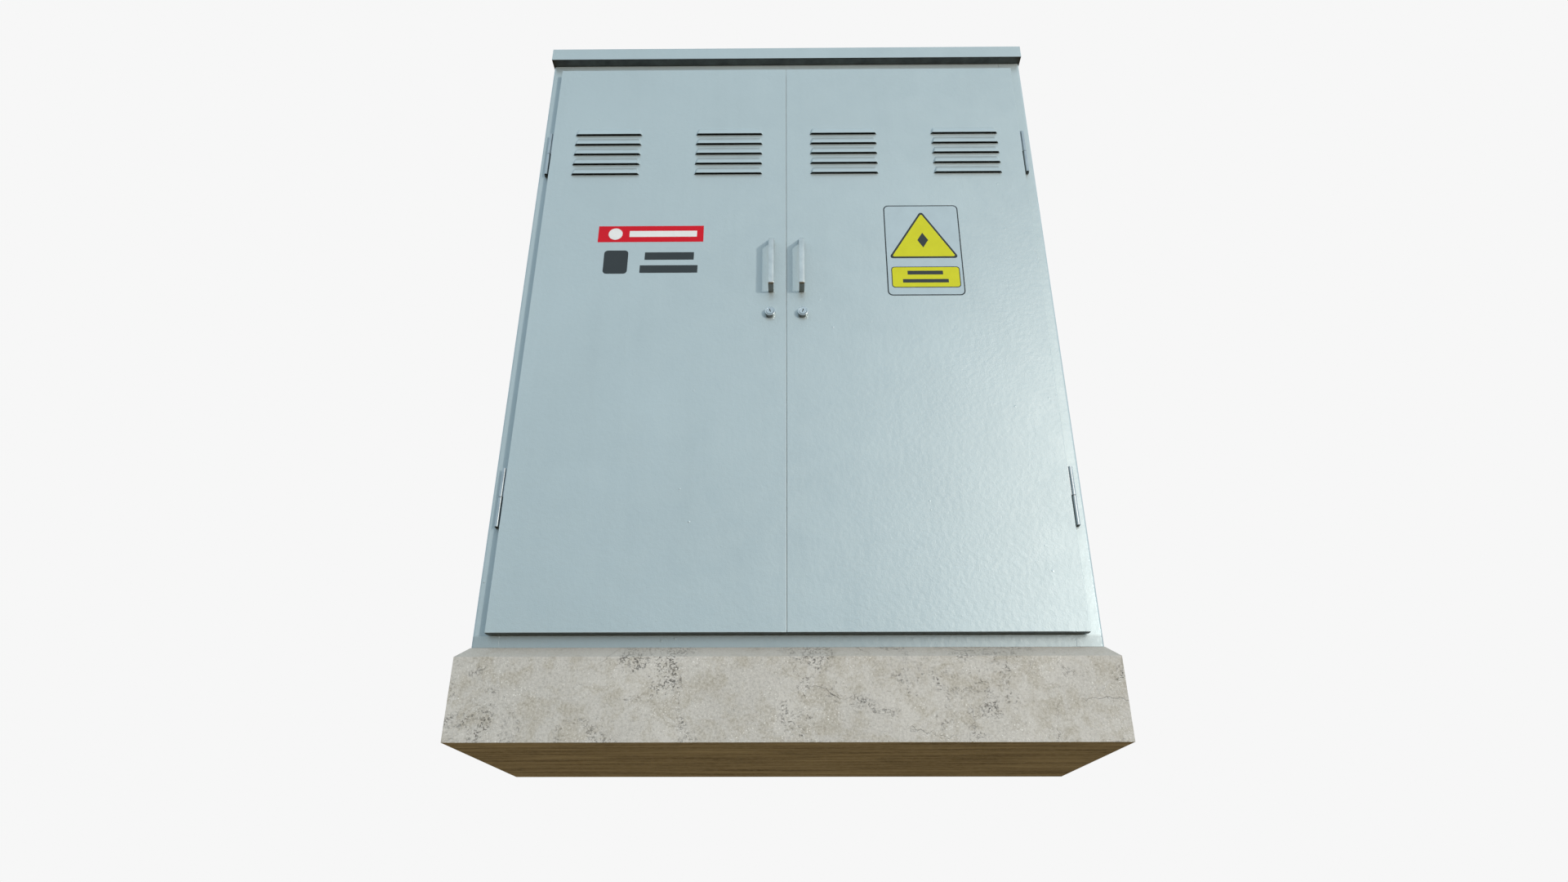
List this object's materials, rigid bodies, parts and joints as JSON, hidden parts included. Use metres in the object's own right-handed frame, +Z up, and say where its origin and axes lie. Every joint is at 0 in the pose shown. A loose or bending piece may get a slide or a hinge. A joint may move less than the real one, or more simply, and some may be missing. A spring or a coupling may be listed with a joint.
{
  "type": "pad-mounted transformer",
  "caption": "Grey steel kiosk transformer on a concrete plinth, with two louvred lockable doors, a flat roof and a dry transformer, fuses and breaker inside.",
  "frame": {"origin": "centre of the plinth's underside", "axes": "+X to the right seen from the doors, +Y to the rear, +Z up"},
  "size_m": [1.306, 0.581, 1.8208],
  "materials": {
    "cabinet_paint": "satin blue-grey enamel with faint orange peel",
    "frame_paint": "satin grey primer",
    "concrete": "cast grey concrete, pitted",
    "duct_plastic": "matt orange-brown pipe",
    "zinc_steel": "zinc plated",
    "hinge_steel": "satin bare steel",
    "handle_metal": "satin metal",
    "lock_metal": "polished",
    "seal_rubber": "matt black",
    "pad_rubber": "matt black",
    "guide_plastic": "matt black nylon",
    "sign_red": "printed film",
    "sign_yellow": "printed film",
    "core_steel": "varnished laminations",
    "clamp_paint": "satin blue enamel",
    "copper": "satin copper",
    "coil_resin": "cast resin",
    "insulator_resin": "glossy cast resin",
    "fuse_ceramic": "glazed",
    "coil_wrap": "varnished glass cloth",
    "press_board": "pressed board",
    "link_sleeve": "shrunk sleeve",
    "plate_zinc": "galvanised sheet",
    "barrier_sheet": "glass fibre sheet",
    "breaker_case": "moulded black",
    "toggle_plastic": "moulded black",
    "pocket_plastic": "moulded light grey"
  },
  "bodies": {
    "cabinet": {"plinth": "concrete", "cable_ducts": "duct_plastic", "anchor_bolts": "zinc_steel", "base_frame": "frame_paint", "left_front_post": "cabinet_paint", "right_front_post": "cabinet_paint", "top_front_rail": "cabinet_paint", "bottom_front_rail": "cabinet_paint", "centre_post": "cabinet_paint", "left_side_panel": "cabinet_paint", "right_side_panel": "cabinet_paint", "rear_panel": "cabinet_paint", "cabinet_bolts": "zinc_steel", "roof_cover": "cabinet_paint", "hinge_frame_knuckles": "hinge_steel", "hinge_pins": "zinc_steel", "earth_bosses": "zinc_steel", "floor_plates": "plate_zinc", "cable_glands": "guide_plastic", "transformer_rails": "frame_paint", "vibration_pads": "pad_rubber", "core": "core_steel", "core_clamps": "clamp_paint", "clamp_bolts": "zinc_steel", "lv_windings": "coil_wrap", "hv_windings": "coil_resin", "coil_blocks": "press_board", "delta_links": "copper", "hv_links": "link_sleeve", "lv_busbars": "copper", "mounting_plate": "plate_zinc", "hv_insulators": "insulator_resin", "hv_fuses": "fuse_ceramic", "phase_barrier": "barrier_sheet", "lv_breaker": "breaker_case", "earth_bar": "copper"},
    "left_door": {"left_door": "cabinet_paint", "left_door_knuckles": "hinge_steel", "left_handle": "handle_metal", "left_lock_barrel": "lock_metal", "left_lock_case": "zinc_steel", "left_rod_guides": "guide_plastic", "left_door_gasket": "seal_rubber", "left_sign": "sign_red"},
    "left_lock": {"left_lock_plug": "lock_metal"},
    "left_upper_bolt": {"left_upper_rod": "zinc_steel"},
    "left_lower_bolt": {"left_lower_rod": "zinc_steel"},
    "right_door": {"right_door": "cabinet_paint", "right_door_knuckles": "hinge_steel", "right_handle": "handle_metal", "right_lock_barrel": "lock_metal", "right_lock_case": "zinc_steel", "right_rod_guides": "guide_plastic", "right_door_gasket": "seal_rubber", "right_sign": "sign_yellow", "document_pocket": "pocket_plastic"},
    "right_lock": {"right_lock_plug": "lock_metal"},
    "right_upper_bolt": {"right_upper_rod": "zinc_steel"},
    "right_lower_bolt": {"right_lower_rod": "zinc_steel"},
    "breaker_lever": {"breaker_toggle": "toggle_plastic"}
  },
  "joints": [
    {"name": "left_door_hinge", "type": "hinge", "parent": "cabinet", "child": "left_door", "pos_m": [-0.609, -0.259, 0.95], "axis": [0, 0, -1], "range_deg": [0, 120]},
    {"name": "left_lock_turn", "type": "hinge", "parent": "left_door", "child": "left_lock", "pos_m": [-0.038, -0.235, 0.96], "axis": [0, 1, 0], "range_deg": [0, 90]},
    {"name": "left_upper_bolt_slide", "type": "slide", "parent": "left_door", "child": "left_upper_bolt", "axis": [0, 0, 1], "range_m": [0, 0.0157]},
    {"name": "left_lower_bolt_slide", "type": "slide", "parent": "left_door", "child": "left_lower_bolt", "axis": [0, 0, -1], "range_m": [0, 0.0157]},
    {"name": "right_door_hinge", "type": "hinge", "parent": "cabinet", "child": "right_door", "pos_m": [0.609, -0.259, 0.95], "axis": [0, 0, 1], "range_deg": [0, 120]},
    {"name": "right_lock_turn", "type": "hinge", "parent": "right_door", "child": "right_lock", "pos_m": [0.038, -0.235, 0.96], "axis": [0, -1, 0], "range_deg": [0, 90]},
    {"name": "right_upper_bolt_slide", "type": "slide", "parent": "right_door", "child": "right_upper_bolt", "axis": [0, 0, 1], "range_m": [0, 0.0157]},
    {"name": "right_lower_bolt_slide", "type": "slide", "parent": "right_door", "child": "right_lower_bolt", "axis": [0, 0, -1], "range_m": [0, 0.0157]},
    {"name": "breaker_switch", "type": "hinge", "parent": "cabinet", "child": "breaker_lever", "pos_m": [0.33, 0.108, 1.27], "axis": [1, 0, 0], "range_deg": [0, 50]}
  ],
  "couplings": [
    {"joint": "left_lock_turn", "follows": "left_upper_bolt_slide", "rad_per_m": 100},
    {"joint": "left_lower_bolt_slide", "follows": "left_upper_bolt_slide", "ratio": 1},
    {"joint": "right_lock_turn", "follows": "right_upper_bolt_slide", "rad_per_m": 100},
    {"joint": "right_lower_bolt_slide", "follows": "right_upper_bolt_slide", "ratio": 1}
  ]
}
